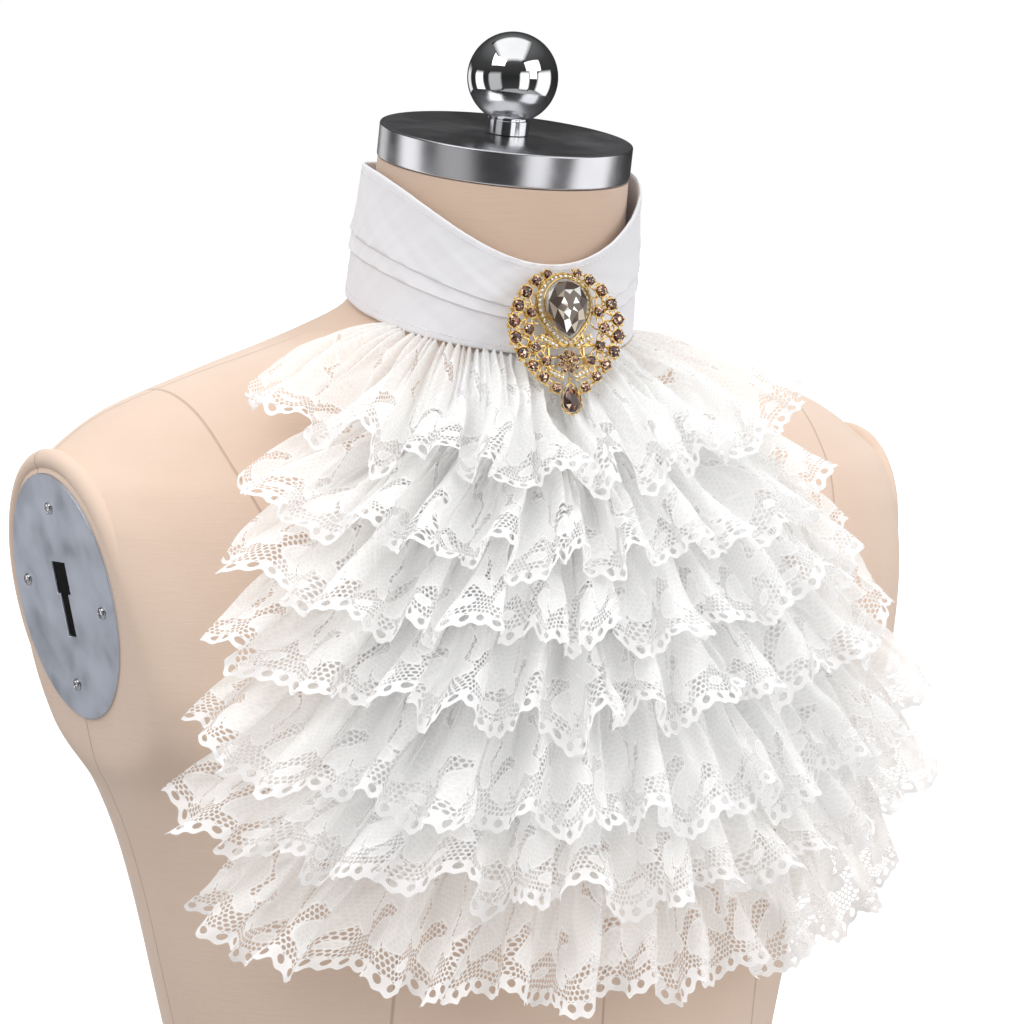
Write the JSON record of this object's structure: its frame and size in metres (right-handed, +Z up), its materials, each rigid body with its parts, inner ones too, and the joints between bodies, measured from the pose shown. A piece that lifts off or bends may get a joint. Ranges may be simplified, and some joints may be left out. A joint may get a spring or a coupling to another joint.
{
  "type": "ruffle jabot on a dress form",
  "caption": "Tiered lace jabot with a stand collar and jewelled brooch, worn by a limbless dress form that stands on its flat base.",
  "frame": {"origin": "centre of the flat underside of the dress form, where it stands", "axes": "+Z up along the form, -Y out of the wearer's chest, +X to the wearer's left"},
  "size_m": [0.4092, 0.2852, 0.7167],
  "materials": {
    "form_cotton": "beige fine-grained cotton cover",
    "brushed_steel": "brushed round",
    "chrome": "polished",
    "zinc_plate": "zinc-plated sheet, satin",
    "collar_cotton": "smooth white cotton",
    "collar_button": "white button",
    "bib_cotton": "plain white cotton",
    "lace": "white floral lace on a hexagonal net",
    "gold_metal": "polished gold tone",
    "smoky_stone": "foiled smoky faceted stone",
    "brown_stone": "foiled brown faceted stone"
  },
  "bodies": {
    "root": {"dress_form": "form_cotton", "neck_cap": "brushed_steel", "knob": "chrome", "arm_plate_right": "zinc_plate", "arm_plate_left": "zinc_plate", "screw_right_1": "brushed_steel", "screw_right_2": "brushed_steel", "screw_right_3": "brushed_steel", "screw_right_4": "brushed_steel", "screw_left_1": "brushed_steel", "screw_left_2": "brushed_steel", "screw_left_3": "brushed_steel", "screw_left_4": "brushed_steel", "collar": "collar_cotton", "collar_button_1": "collar_button", "collar_button_2": "collar_button", "bib": "bib_cotton", "ruffle_1": "lace", "ruffle_2": "lace", "ruffle_3": "lace", "ruffle_4": "lace", "ruffle_5": "lace", "ruffle_6": "lace", "ruffle_7": "lace", "brooch_plate": "gold_metal", "brooch_collet": "gold_metal", "brooch_pear_stone": "smoky_stone", "brooch_flower": "gold_metal", "brooch_drop": "brown_stone", "brooch_pin": "gold_metal", "brooch_stone_r1": "brown_stone", "brooch_stone_l1": "brown_stone", "brooch_stone_r2": "brown_stone", "brooch_stone_l2": "brown_stone", "brooch_stone_r3": "brown_stone", "brooch_stone_l3": "brown_stone", "brooch_stone_r4": "brown_stone", "brooch_stone_l4": "brown_stone", "brooch_stone_r5": "brown_stone", "brooch_stone_l5": "brown_stone", "brooch_stone_r6": "brown_stone", "brooch_stone_l6": "brown_stone", "brooch_stone_r7": "brown_stone", "brooch_stone_l7": "brown_stone", "brooch_stone_r8": "brown_stone", "brooch_stone_l8": "brown_stone", "brooch_stone_r9": "brown_stone", "brooch_stone_l9": "brown_stone", "brooch_stone_r10": "brown_stone", "brooch_stone_l10": "brown_stone", "brooch_stone_r11": "brown_stone", "brooch_stone_l11": "brown_stone", "brooch_stone_r12": "brown_stone", "brooch_stone_l12": "brown_stone", "brooch_stone_r13": "brown_stone", "brooch_stone_l13": "brown_stone", "brooch_stone_r14": "brown_stone", "brooch_stone_l14": "brown_stone"}
  },
  "joints": []
}
